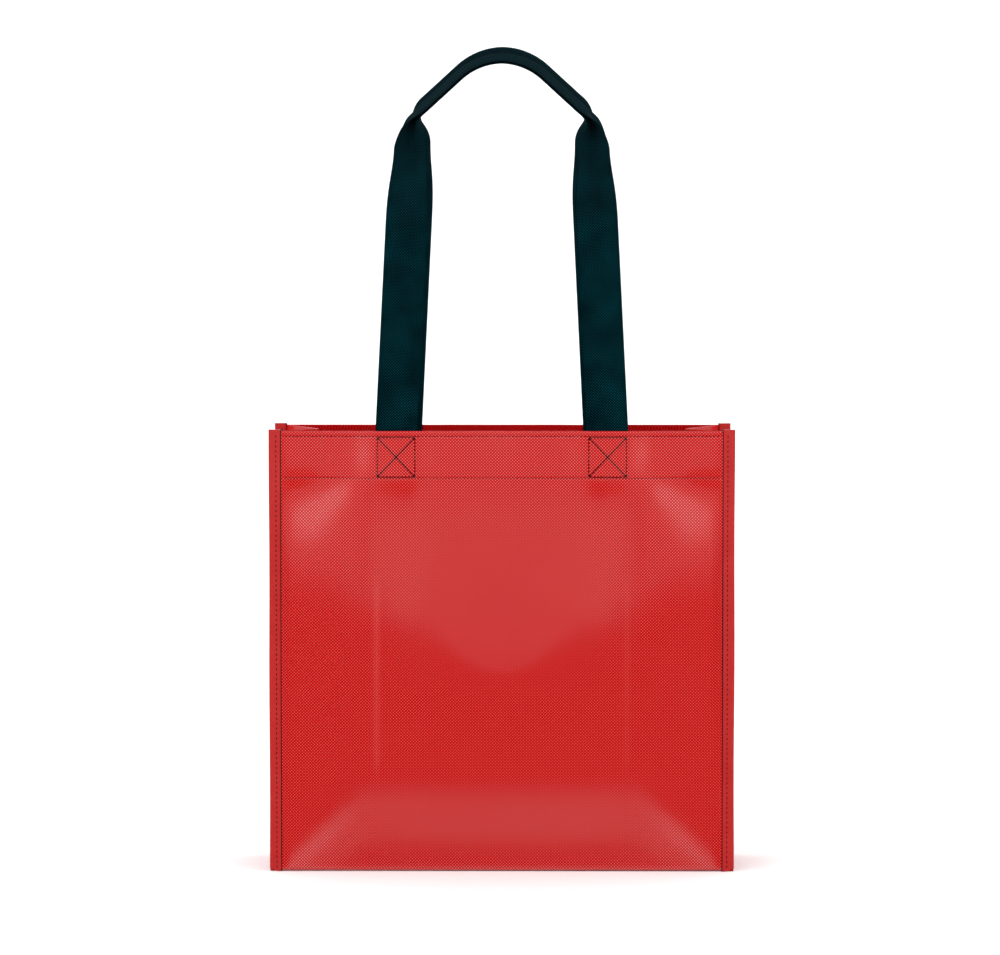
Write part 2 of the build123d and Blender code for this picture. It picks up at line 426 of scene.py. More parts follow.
wallSettings = {
    "thickness": 0.5 * mm,
    "columns": 210,
    "foldRadius": 1.6 * mm,  # at the base
    "footRise": 1.2 * mm,  # the fold stands this far off the floor between the bindings
    "hemGap": 0.55 * mm,  # half the distance between a wall and its hem
    "grooveDepth": 0.10 * mm,
    "grooveWidth": 0.9 * mm,
    "tuckIn": 1.5 * mm,  # how far the wall runs under its binding
    "hemNarrower": 4 * mm,
    "hemRows": 20,
    "lattice": 252,  # points each way that the bulge is worked out on
    "layout": 370,  # mm of height that the slopes are laid out over, then stretched to the bag's
    "packCrease": 16.5,  # mm from each strap's middle out to the crease from packing
    "creaseRise": {"front": 0.22, "back": 0.10},  # in mm
    "inset": 0.15 * mm,  # the rest face stands this far inside the frame's
}
# Where the film is stretched smoother: its middle and its half height as shares of the bag's height,
# its half width in metres, and the power that says how sharply it ends at the sides.
smoothPools = [(0.62, 0.20, 0.105, 3), (0.12, 0.085, 0.150, 4)]

# How far each part of a wall leans from upright, as a slope, positive where it faces up.
foldSettings = {
    "front": {"upper": 0.037, "fan": 0.165, "valley": 0.080, "under": 0.07, "lower": 0.086},
    "back": {"upper": 0.030, "fan": 0.090, "valley": 0.040, "under": 0.04, "lower": 0.075},
}
simSettings = {
    "points": 94,
    "frames": 18,
    "gravity": 0.6,
    "cap": 0.20 * mm,  # the result is scaled down to this, because the laminated cloth is stiff
    "cloth": {
        "quality": 6,
        "mass": 0.25,
        "tension_stiffness": 30,
        "compression_stiffness": 30,
        "shear_stiffness": 15,
        "bending_stiffness": 6,
        "vertex_group_mass": "held",
        "shrink_min": -0.0012,  # slack
        "use_pressure": True,
        "uniform_pressure_force": 0.35,
    },
}


def bell(value, centre, width):
    return np.exp(-(((value - centre) / width) ** 2))


def plateau(value, centre, width, power=4):
    return np.exp(-np.abs((value - centre) / width) ** power)


# The slope of a wall at a distance a from its middle and a height z, both in mm: an upper sheet that
# leans back above a line dipping in the middle, a fan of folds from each strap's foot to the seam, a
# step under each sewn square, and a lower arch that runs out into the two bottom corners.
def wallSlope(wall, a, z):
    given = foldSettings[wall]
    leg = legHalf[wall] / mm
    dip = 1 - np.exp(-((a / 55) ** 2.4))
    rise = 166 + 42 * dip + 42 * smooth(70, 175, a)
    slope = given["upper"] * smooth(-1, 1, (z - rise) / (8 + 27 * dip))
    over, down = a - leg - 24, 338 - z
    far, turn = np.hypot(over, down), np.degrees(np.arctan2(down, over))
    fanTurn = 38  # degrees below level, seen from the strap's foot
    fanWidth = np.where(turn > fanTurn, 21, 15)
    fan = given["fan"] * plateau(turn, fanTurn, fanWidth, 2.4)
    slope += fan * smooth(4, 34, far) * (1 - smooth(62, 104, far))
    slope -= given["valley"] * bell(turn, 7, 9) * smooth(28, 55, far) * (over > 0)
    slope -= 0.016 * bell(turn, 92, 16) * smooth(8, 25, far) * (1 - smooth(70, 110, far))
    step = np.where(z < 327, bell(z, 325, 17), bell(z, 325, 5))
    slope -= given["under"] * plateau(a, leg + 1, 20) * step
    hem = smooth(327, 333, z)
    slope += (0.115 * bell(a, leg + 28, 8) + 0.045 * bell(a, leg - 29, 10)) * bell(z, 350, 17)
    slope += (0.010 + 0.016 * bell(a, 0, 24) - 0.012 * plateau(a, leg, 18, 6)) * hem
    lane = leg - 22 + (330 - z) * 0.13
    slope += 0.022 * bell(a, lane, 15) * smooth(200, 235, z) * (1 - smooth(305, 328, z))
    edge = 70 - 62 * np.clip((a - 112) / 72, 0, 1) ** 1.2
    below = edge - z
    slope -= given["lower"] * smooth(-25, 18, below) * (1 - 0.42 * smooth(34, 56, below))
    slope -= 0.085 * smooth(105, 175, a) * bell(below, 11, 11)
    middleBand = bell(z, 120 + 30 * smooth(90, 150, a), 60)
    slope -= (0.016 + 0.022 * plateau(a, 155, 32)) * middleBand
    return slope


# A wall's outward bulge on a square lattice: minus the running sum of its slope up from the foot,
# fading out at the seams.
def shapeWall(wall, count):
    given, height, half = wallSettings, wallSettings["layout"], seamHalf / mm
    z, x = np.meshgrid(np.linspace(0, height, count), np.linspace(-half, half, count), indexing="ij")
    slope = wallSlope(wall, np.abs(x), z)
    steps = (slope[1:] + slope[:-1]) / 2 * height / (count - 1)
    rise = np.concatenate([np.zeros((1, count)), -np.cumsum(steps, axis=0)])
    rise -= np.clip(rise[-1:], 0, None) * smooth(228, 358, z)  # the mouth is held straight
    packed = smooth(70, 100, z) * (1 - smooth(225, 255, z)) * (0.6 - 0.4 * np.sign(x))
    creaseAt = legHalf[wall] / mm + given["packCrease"]
    rise += given["creaseRise"][wall] * packed * bell(np.abs(x), creaseAt, 1.8)
    return rise * (1 - smooth(half - 10, half - 0.5, np.abs(x)))


# Cloth simulation of one wall from that shape, held at its seams, its foot and its straps, with its own
# weight and a light pressure from inside. Returns how far each point moved outwards, scaled to the cap.
def settleWall(wall):
    given = simSettings
    count = given["points"]
    start = shapeWall(wall, count) * mm
    z, x = np.meshgrid(np.linspace(0, 1, count), np.linspace(-1, 1, count), indexing="ij")
    out = walls[wall]
    points = np.stack([x * seamHalf, out * (wallFace + start), z * bagHeight], axis=-1)
    held = (np.abs(x) > 0.999) | (z < 0.001)
    nearStrap = np.abs(np.abs(x) * seamHalf - legHalf[wall]) < strapWidth / 2
    held |= nearStrap & (z * bagHeight > hemFoot)
    held |= (z > 0.999) & (np.abs(x) > 0.97)
    quads = gridQuads(count, count)
    quads = quads if out < 0 else quads[:, ::-1]
    mesh = bpy.data.meshes.new("settling")
    mesh.from_pydata(points.reshape(-1, 3).tolist(), [], quads.tolist())
    sheet = addObject("settling", mesh)
    scene = bpy.context.scene
    group = sheet.vertex_groups.new(name="held")
    group.add(np.flatnonzero(held.ravel()).tolist(), 1.0, "REPLACE")
    modifier = sheet.modifiers.new("cloth", "CLOTH")
    modifier.point_cache.frame_start = 1
    modifier.point_cache.frame_end = given["frames"]
    for key, value in given["cloth"].items():
        setattr(modifier.settings, key, value)
    modifier.settings.effector_weights.gravity = given["gravity"]
    for number in range(1, given["frames"] + 1):
        scene.frame_set(number)
    settled = sheet.evaluated_get(bpy.context.evaluated_depsgraph_get()).data
    after = np.zeros(count * count * 3, np.float32)
    settled.vertices.foreach_get("co", after)
    scene.frame_set(1)
    bpy.data.objects.remove(sheet)
    moved = (after.reshape(count, count, 3)[..., 1] - points[..., 1]) * out
    least, most = (round(float(value) / mm, 2) for value in (moved.min(), moved.max()))
    print(wall, "wall settled, moved", least, most, "mm")
    return moved * min(1.0, given["cap"] / float(np.abs(moved).max()))


def onLattice(grid, x, z):
    return sampleGrid(grid, z / bagHeight, (x / seamHalf + 1) / 2)


def latticeOf(wall):
    count = wallSettings["lattice"]
    heights, across = np.linspace(0, bagHeight, count), np.linspace(-seamHalf, seamHalf, count)
    z, x = np.meshgrid(heights, across, indexing="ij")
    return shapeWall(wall, count) * mm + onLattice(settleWall(wall), x, z)


bulges = {wall: latticeOf(wall) for wall in walls}


def bulge(wall, x, z):
    return onLattice(bulges[wall], x, z)


def stitchRows(wall):
    return [middle(wall + "_top_stitching")[2], middle(wall + "_hem_stitching")[2]]


# Dips along the stitch rows, each a bell curve.
def groove(wall, z):
    dips = [np.exp(-(((z - row) / wallSettings["grooveWidth"]) ** 2)) for row in stitchRows(wall)]
    return wallSettings["grooveDepth"] * sum(dips)


# Points on a wall's outer face, or a distance out from it.
def onWall(wall, x, z, out=0.0):
    x, z = np.broadcast_arrays(np.asarray(x, float), np.asarray(z, float))
    far = wallFace - wallSettings["inset"] + bulge(wall, x, z) - groove(wall, z) + out
    return np.stack([x, walls[wall] * far, z], axis=-1)


# The cloth's path from the base fold up to the mouth, over, and down the hem. Rows of (distance in
# from the face, height, share of the hem's narrowing, length so far).
def wallSection(wall):
    given = wallSettings
    radius, foot, gap = given["foldRadius"], given["footRise"], given["hemGap"]
    turn = np.linspace(-math.pi / 2, 0, 8)[:-1]
    base = np.stack([radius - radius * np.cos(turn), foot + radius + radius * np.sin(turn)], axis=-1)
    rows = stitchRows(wall)
    heights = np.concatenate([
        np.linspace(foot + radius, rows[1] - 3 * mm, 104),
        np.linspace(rows[1] - 2.4 * mm, rows[1] + 2.4 * mm, 9),
        np.linspace(rows[1] + 4 * mm, rows[0] - 4 * mm, 8),
        np.linspace(rows[0] - 2.4 * mm, bagHeight - gap - 0.3 * mm, 12),
    ])
    upright = np.stack([np.zeros_like(heights), heights], axis=-1)
    over = np.linspace(0, math.pi, 9)
    lip = np.stack([gap - gap * np.cos(over), bagHeight - gap + gap * np.sin(over)], axis=-1)
    down = np.linspace(bagHeight - 2 * gap, hemFoot, given["hemRows"])
    hem = np.stack([np.full_like(down, 2 * gap), down], axis=-1)
    path = np.concatenate([base, upright, lip, hem])
    length = np.concatenate([[0], np.cumsum(np.linalg.norm(np.diff(path, axis=0), axis=1))])
    narrow = np.zeros(len(path))
    narrow[-len(down):] = smooth(0, 4 * mm, bagHeight - down)
    return np.column_stack([path, narrow, length])


def filmShare(across, height):
    shares = []
    for centre, half, reach, power in smoothPools:
        up = (height - centre * bagHeight) / (half * bagHeight)
        shares.append(np.exp(-((np.abs(across) / reach) ** power) - up**4))
    return np.maximum(*shares)


# How much sheen is painted along the packing creases, more so on the left.
def paintedCreaseSheen(wall, across, height):
    side = np.abs(across) / mm - legHalf[wall] / mm - wallSettings["packCrease"]
    share = height / bagHeight
    packed = smooth(0.2, 0.27, share) * (1 - smooth(0.6, 0.7, share))
    return packed * (0.7 - 0.3 * np.sign(across)) * bell(side, 0, 2.6)


# The section carried along X, pushed out by the settled bulge.
def makeWall(wall):
    given = wallSettings
    section = wallSection(wall)
    reach = seamHalf + given["tuckIn"]
    x = np.linspace(-reach, reach, given["columns"])
    depth, height, narrow, length = (section[:, k, None] for k in range(4))
    width = 1 - narrow * given["hemNarrower"] / reach
    across = x[None, :] * width
    rest = wallFace - given["inset"] - given["thickness"] / 2
    far = rest + bulge(wall, across, height) - groove(wall, height) - depth
    points = np.stack([across, walls[wall] * far, np.broadcast_to(height, far.shape)], axis=-1)
    uv = np.stack(np.broadcast_arrays(x[None, :], length), axis=-1)
    # the packing creases get painted sheen in the cloth's colour
    marks = {"smoothed": filmShare(across, height), "creaseSheen": paintedCreaseSheen(wall, across, height)}
    piece = makeShell(wall + "Wall", points, given["thickness"], uv, cloth, marks)
    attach(piece, wall + "_wall")
    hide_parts(wall + "_panel")


for wall in walls:
    makeWall(wall)
print("walls made")


# base of the wrap

# A flat sheet between the two base folds, dipping slightly in the middle.
def makeBase():
    foot = wallSettings["footRise"]
    reachX, reachY = seamHalf + 1 * mm, wallFace - wallSettings["foldRadius"] - 0.6 * mm
    deep, wide = np.linspace(-reachY, reachY, 40), np.linspace(-reachX, reachX, 110)
    y, x = np.meshgrid(deep, wide, indexing="ij")
    edge = (1 - (x / reachX) ** 8) * (1 - (y / reachY) ** 8)
    z = foot - edge * (foot - 0.35 * mm)
    uv = np.stack([x, y], axis=-1)
    piece = makeShell("baseCloth", np.stack([x, y, z], axis=-1), 0.5 * mm, uv, cloth)
    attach(piece, "bag_base")
    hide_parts("bottom_panel")


makeBase()


# gussets

gussetSettings = {
    "thickness": 0.5 * mm,
    "tuckStart": 70 * mm,
    "tuckDepth": 30 * mm,
    "creaseForward": 14 * mm,  # the crease drifts this far to the front at the mouth
    "creaseWidth": 0.07,  # of a half's width, over which the crease is rounded
    "sag": 2.6 * mm,
    "width": {"front": 47.5 * mm, "back": 57 * mm},
    "foot": 1.6 * mm,
    "rows": 110,
    "columns": 36,
    "shift": 1.0 * mm,  # in from the seam line
}


# From the crease (t 0) to the seam (t 1): a line that stands in by the tuck, rounded at the crease
# and sagging between them as sin(pi t) times waves that change with height.
def gussetPoint(side, half, t, z, out=0.0):
    given = gussetSettings
    start, stop = given["tuckStart"], bagHeight * 1.25
    share = smooth(start, stop, z) / smooth(start, stop, bagHeight)
    tuck = 0.8 * mm + given["tuckDepth"] * share
    crease = -given["creaseForward"] * share
    seam = walls[half] * (wallFace - 1.0 * mm)
    y = crease + (seam - crease) * t
    rounding = given["creaseWidth"] * np.exp(-t / given["creaseWidth"])
    inward = tuck * (1 - t - rounding)
    phase = 1.0 if half == "front" else -0.7
    wave = np.sin(z / 0.118 * math.pi * phase + 0.6 * walls[half]) * np.sin(np.pi * t)
    soft = given["sag"] * wave * smooth(0, 0.06, z) * (1 - 0.6 * smooth(bagHeight - 0.05, bagHeight, z))
    x = sides[side] * (seamHalf - given["shift"] * (1 - t) - inward - soft * 0.7 + out)
    return np.stack(np.broadcast_arrays(x, y, z), axis=-1)


# Bakes a gusset piece's transform into its mesh.
def blendHalf(piece):
    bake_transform(piece)


def makeGusset(side, half):
    given = gussetSettings
    gap = 1.1 * mm  # between the gusset and its own hem
    up = np.linspace(given["foot"], bagHeight - gap / 2, given["rows"])
    turn = np.linspace(0, math.pi, 7)[1:-1]
    down = np.linspace(bagHeight - gap, hemFoot, 16)
    heights = np.concatenate([up, bagHeight - gap / 2 + gap / 2 * np.sin(turn), down])
    inset = np.concatenate([np.zeros_like(up), gap / 2 * (1 - np.cos(turn)), np.full_like(down, gap)])
    t = np.linspace(0, 1, given["columns"]) ** 1.4
    z, along = np.meshgrid(heights, t, indexing="ij")
    stop = 1 - smooth(0, 0.3 * mm, inset[:, None]) * 0.05  # the hem stops short of the seam
    points = gussetPoint(side, half, along * stop, z, -inset[:, None])
    length = np.concatenate([[0], np.cumsum(np.hypot(np.diff(heights), np.diff(inset)))])
    width = given["width"][half]
    uv = np.stack([along * width, np.broadcast_to(length[:, None], z.shape)], axis=-1)
    name = side + "Gusset" + half.capitalize()
    piece = makeShell(name, points, given["thickness"], uv, cloth, outerFrom=0.4)
    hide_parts(side + "_gusset")
    blendHalf(piece)


for side in sides:
    for half in walls:
        makeGusset(side, half)
print("gussets made")


# bindings

bindingSettings = {
    "around": 36,
    "step": 4 * mm,
    "squareness": 0.32,
    "pinch": 0.28 * mm,  # at the stitch row
    "pinchWidth": 1.1 * mm,
    "lip": 0.5 * mm,  # the tape's inner edge laps over the wall
    "row": 4 * mm,
    "sway": 0.16 * mm,  # front to back, up an upright tape
    "phase": {"left": 1.3, "right": 4.1},
}


# How far an upright tape wavers from front to back at a height z: sin(z / 47 mm + phase).
def bindingSway(side, z):
    given = bindingSettings
    return given["sway"] * np.sin(z / 0.047 + given["phase"][side]) * smooth(0, 0.03, z)


# A superellipse: each coordinate is a power of a sine or cosine, pinched along the stitches.
def bindingSection(width, depth):
    given = bindingSettings
    turn = np.linspace(0, 2 * math.pi, given["around"], endpoint=False)
    c, s = np.cos(turn), np.sin(turn)
    u = width / 2 * np.sign(c) * np.abs(c) ** given["squareness"]
    v = depth / 2 * np.sign(s) * np.abs(s) ** (given["squareness"] * 1.6)
    fromInner = u + width / 2 - given["lip"]
    dip = given["pinch"] * np.exp(-(((fromInner - given["row"]) / given["pinchWidth"]) ** 2))
    return u, v - np.sign(v) * np.minimum(dip, np.abs(v) * 0.8)


# Upright tape folded round the seam, its foot cut on a slant and its width slightly uneven.
def makeBinding(wall, side):
    given = bindingSettings
    inner = seamHalf - given["lip"]
    width, depth = bindingTip - inner, bindingFace - bindingBack
    u, v = bindingSection(width, depth)
    z = np.arange(0.3 * mm, bindingTop, given["step"])
    z = np.append(z, bindingTop - 0.2 * mm)
    wide = 1 + 0.018 * np.sin(z / 0.031 + 2 * given["phase"][side])
    x = inner + (u[None, :] + width / 2) * wide[:, None]
    height = np.broadcast_to(z[:, None], x.shape).copy()
    height[0] += smooth(0.35, 1, (u + width / 2) / width) * 2.2 * mm
    face = (bindingFace + bindingBack) / 2
    y = face + v[None, :] + bindingSway(side, z)[:, None]
    rings = np.stack([sides[side] * x, walls[wall] * y, height], axis=-1)
    # the painted shadow along the tape's inner edge, beside the wall
    seam = np.broadcast_to(smooth(1.3 * mm, 0.5 * mm, u + width / 2), x.shape)
    piece = makeTube(wall + side.capitalize() + "Binding", rings, tape, attributes={"seam": seam})
    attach(piece, wall + "_wall")
    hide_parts(f"{wall}_{side}_binding")


# Tape round the base seam, lying flat from front to back with soft ends.
def makeBaseBinding(side):
    given = bindingSettings
    inner = seamHalf - given["lip"]
    width = bindingTip - inner
    u, v = bindingSection(width, baseBindingTop - 0.1 * mm)
    reach = bindingBack - 0.3 * mm
    y = np.linspace(-reach, reach, 30)
    wide = 1 - 0.02 * (1 + np.sin(y / 0.021))
    x = inner + (u[None, :] + width / 2) * wide[:, None]
    z = baseBindingTop / 2 + v[None, :] + 0 * x
    rings = np.stack([sides[side] * x, np.broadcast_to(y[:, None], x.shape), z], axis=-1)
    piece = makeTube(side + "BaseBinding", rings, tape)
    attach(piece, "bag_base")
    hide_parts(side + "_bottom_binding")


for side in sides:
    makeBaseBinding(side)
    for wall in walls:
        makeBinding(wall, side)
print("bindings made")


# handles

handleSettings = {
    "thickness": 1.15 * mm,
    "kneeDrop": 109 * mm,
    "kneeInset": 10.4 * mm,
    "shoulderDrop": 50.0 * mm,
    "shoulderInset": 14.2 * mm,  # from the front handle's leg
    "crownHalf": 20.5 * mm,
    "radii": (60 * mm, 150 * mm, 24 * mm, 56 * mm),  # hem, knee, shoulder, crown
    "cup": (150 * mm, 78 * mm, 0.45),  # below the grip's top, and how far it folds there
    "close": (78 * mm, 44 * mm),
    "swell": 1.2 * mm,  # the folded strap stands outside its route here
    "swellAt": (60 * mm, 11 * mm),
    "spine": 0.075,  # share of half the width over which the fold bends
    "roll": math.radians(22),
    "rollFrom": (60 * mm, 42 * mm),
    "across": 33,
    "step": 2.2 * mm,
}


# Straight runs joined by tangent arcs, sampled evenly: cut each corner by radius * tan(turn / 2).
def filletRoute(corners, radii, step):
    pieces = [corners[:1]]
    for before, corner, after, radius in zip(corners[:-2], corners[1:-1], corners[2:], radii):
        a, b = unit(before - corner), unit(after - corner)
        turn = math.pi - math.acos(float(np.clip(a @ b, -1, 1)))
        cut = radius * math.tan(turn / 2)
        centre = corner + unit(a + b) * radius / math.cos(turn / 2)
        start, end = corner + a * cut - centre, corner + b * cut - centre
        t = np.linspace(0, 1, 25)[:, None]
        arc = (start * np.sin((1 - t) * turn) + end * np.sin(t * turn)) / math.sin(turn)
        pieces.append(centre + arc)
    pieces.append(corners[-1:])
    line = np.concatenate(pieces)
    length = np.concatenate([[0], np.cumsum(np.linalg.norm(np.diff(line, axis=0), axis=1))])
    even = np.linspace(0, length[-1], int(length[-1] / step) + 1)
    return np.stack([np.interp(even, length, line[:, k]) for k in (0, 1)], axis=-1), even


# The middle of the strap from one sewn end to the other, as (x, z), and the length so far.
def handleRoute(wall):
    given = handleSettings
    top, leg = gripTop[wall], legHalf[wall]
    shoulder = legHalf["front"] - given["shoulderInset"]
    left = [
        (-leg, hemFoot),
        (-leg, bagHeight),
        (-leg + given["kneeInset"], top - given["kneeDrop"]),
        (-shoulder, top - given["shoulderDrop"]),
        (-given["crownHalf"], top),
    ]
    corners = np.array(left + [(-x, z) for x, z in reversed(left)])
    radii = given["radii"] + given["radii"][::-1]
    return filletRoute(corners, radii, given["step"])


# A point of the strap at a length s along it and a share q across it, on its outer or inner face.
# Across the strap its direction turns by the fold angle times tanh(q / spine), and the point is the
# sum of those directions. The section then rolls about the route, and stands square to it.
def strapSurface(wall, s, q, outer):
    given = handleSettings
    route, length = handleRoute(wall)
    lift = given["swell"] * bell(gripTop[wall] - route[:, 1], *given["swellAt"])
    route = route + np.stack([np.sign(route[:, 0]) * lift, 0 * lift], axis=-1)
    place = np.stack([np.interp(s, length, route[:, k]) for k in (0, 1)], axis=-1)
    tangents = unit(np.gradient(route, axis=0))
    kernel = np.exp(-np.linspace(-2, 2, 9) ** 2)
    kernel /= kernel.sum()
    soft = [np.convolve(np.pad(tangents[:, k], 4, mode="edge"), kernel, "valid") for k in (0, 1)]
    tangent = unit(np.stack([np.interp(s, length, soft[k]) for k in (0, 1)], axis=-1))
    drop = gripTop[wall] - place[:, 1]
    cupFrom, cupTo, cup = given["cup"]
    closing = (1 - cup) * (1 - smooth(*given["close"][::-1], drop))
    folded = cup * (1 - smooth(cupTo, cupFrom, drop)) + closing
    fold = folded * math.pi / 2
    steps = 200  # from the middle of the strap to its edge
    fine = np.linspace(-1, 1, 2 * steps + 1)
    turning = fold[:, None] * np.tanh(fine / given["spine"])[None, :]
    stepLength = strapWidth / 2 * (fine[1] - fine[0])
    u = np.cumsum(np.cos(turning), axis=1) * stepLength
    v = np.cumsum(np.sin(turning), axis=1) * stepLength
    u -= u[:, steps, None]
    v -= v.mean(axis=1, keepdims=True)
    index = np.clip(np.round((q + 1) * steps).astype(int), 0, 2 * steps)
    paired = index.shape == s.shape  # one share for each length, instead of a grid
    rowIndex = np.arange(len(s))
    pick = (rowIndex, index) if paired else (rowIndex[:, None], index[None, :])
    a, b, angle = u[pick], v[pick], turning[pick]
    edge = 1 - 0.55 * np.abs(q) ** 24
    half = given["thickness"] / 2 * (edge if paired else edge[None, :])
    sign = 1.0 if outer else -1.0
    a = a + sign * half * np.sin(angle)
    b = b - sign * half * np.cos(angle)
    normalA, normalB = sign * np.sin(angle), -sign * np.cos(angle)
    roll = given["roll"] * (1 - smooth(*given["rollFrom"][::-1], drop))
    shape = (...,) if paired else (..., None)
    c, w = np.cos(roll)[shape], np.sin(roll)[shape]
    outX, outZ = -tangent[:, 1][shape], tangent[:, 0][shape]

    def placed(along, forward):
        raised = along * c - forward * w
        ahead = along * w + forward * c
        return raised, ahead

    raised, ahead = placed(a, b)
    x, z = place[:, 0][shape] + outX * raised, place[:, 1][shape] + outZ * raised
    free = smooth(bagHeight, bagHeight + 0.09, z)
    ahead = ahead + bulge(wall, x, np.minimum(z, bagHeight)) * (1 - free)
    normalRaised, normalAhead = placed(normalA, normalB)
    out = walls[wall]
    points = np.stack([x, out * (strapPlane + ahead), z], axis=-1)
    normals = np.stack([outX * normalRaised, out * normalAhead, outZ * normalRaised], axis=-1)
    return points, normals, folded


def makeHandle(wall):
    given = handleSettings
    length = handleRoute(wall)[1]
    q = np.sin(np.linspace(-math.pi / 2, math.pi / 2, given["across"]))
    middleHeavy = np.sign(q) * np.abs(q) ** 1.6
    q = np.sort(np.concatenate([q, middleHeavy[np.abs(middleHeavy) < 0.5]]))
    q = q[np.concatenate([[True], np.diff(q) > 0.004])]
    front, _, folded = strapSurface(wall, length, q, True)
    back = strapSurface(wall, length, q[::-1], False)[0]
    rings = np.concatenate([front, back], axis=1)
    across = np.concatenate([q, q[::-1]]) * strapWidth / 2
    uv = np.stack(np.broadcast_arrays(across[None, :], length[:, None]), axis=-1)
    attribute = np.broadcast_to(folded[:, None], rings.shape[:2])
    piece = makeTube(wall + "Strap", rings, strap, uv, {"folded": attribute})
    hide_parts(wall + "_handle", wall + "_strap_ends")
    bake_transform(piece)
    print(wall, "handle made, strap length", round(float(length[-1]), 4), "m")


for wall in walls:
    makeHandle(wall)


# stitches

stitchSettings = {
    "rings": 6,
    "around": 6,
    "radius": 0.34 * mm,
    "lift": 0.22 * mm,
    "sink": 0.25 * mm,
    "boxRadius": 0.46 * mm,
}
# Each kind of row: its pitch, and the share of the pitch that each stitch fills.
hemPitch, hemFill = 3.2 * mm, 0.62
boxRow, crossRow = (3.1 * mm, 0.66), (3.4 * mm, 0.97)
bindingPitch, bindingFill = 4.2 * mm, 0.6
gripSeam = {"pitch": 3.0 * mm, "half": 0.95 * mm, "across": 0.86, "closed": 0.985}


# Short bowed threads: each runs from start to end, lifted as sin(pi t) and sunk at its ends.
def makeStitches(name, starts, ends, normals, thread, radius=None):
    given = stitchSettings
    radius = radius or given["radius"]
    t = np.linspace(0, 1, given["rings"])
    lift = given["lift"] * np.sin(math.pi * t) ** 0.6 - given["sink"] * (1 - np.sin(math.pi * t) ** 0.5)
    line = starts[:, None] + (ends - starts)[:, None] * t[:, None] + normals[:, None] * lift[:, None]
    along = unit(ends - starts)
    side = unit(np.cross(along, normals))
    upward = np.cross(side, along)
    turn = np.linspace(0, 2 * math.pi, given["around"], endpoint=False)
    thick = radius * (0.55 + 0.45 * np.sin(math.pi * t) ** 0.4)
    c, s = np.cos(turn)[None, :, None], np.sin(turn)[None, :, None]
    ring = c * side[:, None, :] + s * upward[:, None, :]
    points = line[:, :, None, :] + thick[None, :, None, None] * ring[:, None, :, :]
    count, rings, around = points.shape[:3]
    index = np.arange(rings * around).reshape(rings, around)
    after = np.roll(index, -1, axis=1)
    one = np.stack([index[:-1], after[:-1], after[1:], index[1:]], axis=-1).reshape(-1, 4)
    caps = []
    for loop in (index[0][::-1], index[-1]):
        caps += [loop[[0, 1, 2, 3]], loop[[0, 3, 4, 5]]]
    one = np.concatenate([one, np.array(caps)])
    faces = (one[None] + (np.arange(count) * rings * around)[:, None, None]).reshape(-1, 4)
    return makeMesh(name, points.reshape(-1, 3), faces, material=thread, sharp=80)


# The middles of equally spaced stitches along a length.
def spread(length, pitch):
    count = max(1, int(round(length / pitch)))
    return (np.arange(count) + 0.5) * length / count


# A row of stitches between two (x, z) points of a wall's outer face.
def wallRow(wall, fromPoint, toPoint, pitch, fill):
    a, b = np.array(fromPoint), np.array(toPoint)
    length = float(np.linalg.norm(b - a))
    middles = spread(length, pitch)
    half = pitch * fill / 2
    way = (b - a) / length
    starts, ends = a + way * (middles - half)[:, None], a + way * (middles + half)[:, None]
    x, z = ((starts + ends) / 2).T
    near = 1 * mm  # to the points that the slope is taken from
    across = onWall(wall, x + near, z) - onWall(wall, x - near, z)
    up = onWall(wall, x, z + near) - onWall(wall, x, z - near)
    normals = unit(np.cross(across, up))
    normals *= np.sign(normals[:, 1:2] * walls[wall])
    above = 0.05 * mm
    return onWall(wall, *starts.T, above), onWall(wall, *ends.T, above), normals


# One piece from several rows of (starts, ends, normals), in place of its node.
def finishStitches(name, rows, thread, body, node, radius=None):
    starts, ends, normals = (np.concatenate(parts) for parts in zip(*rows))
    piece = makeStitches(name, starts, ends, normals, thread, radius)
    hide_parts(node)
    if body:
        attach(piece, body)
    return piece


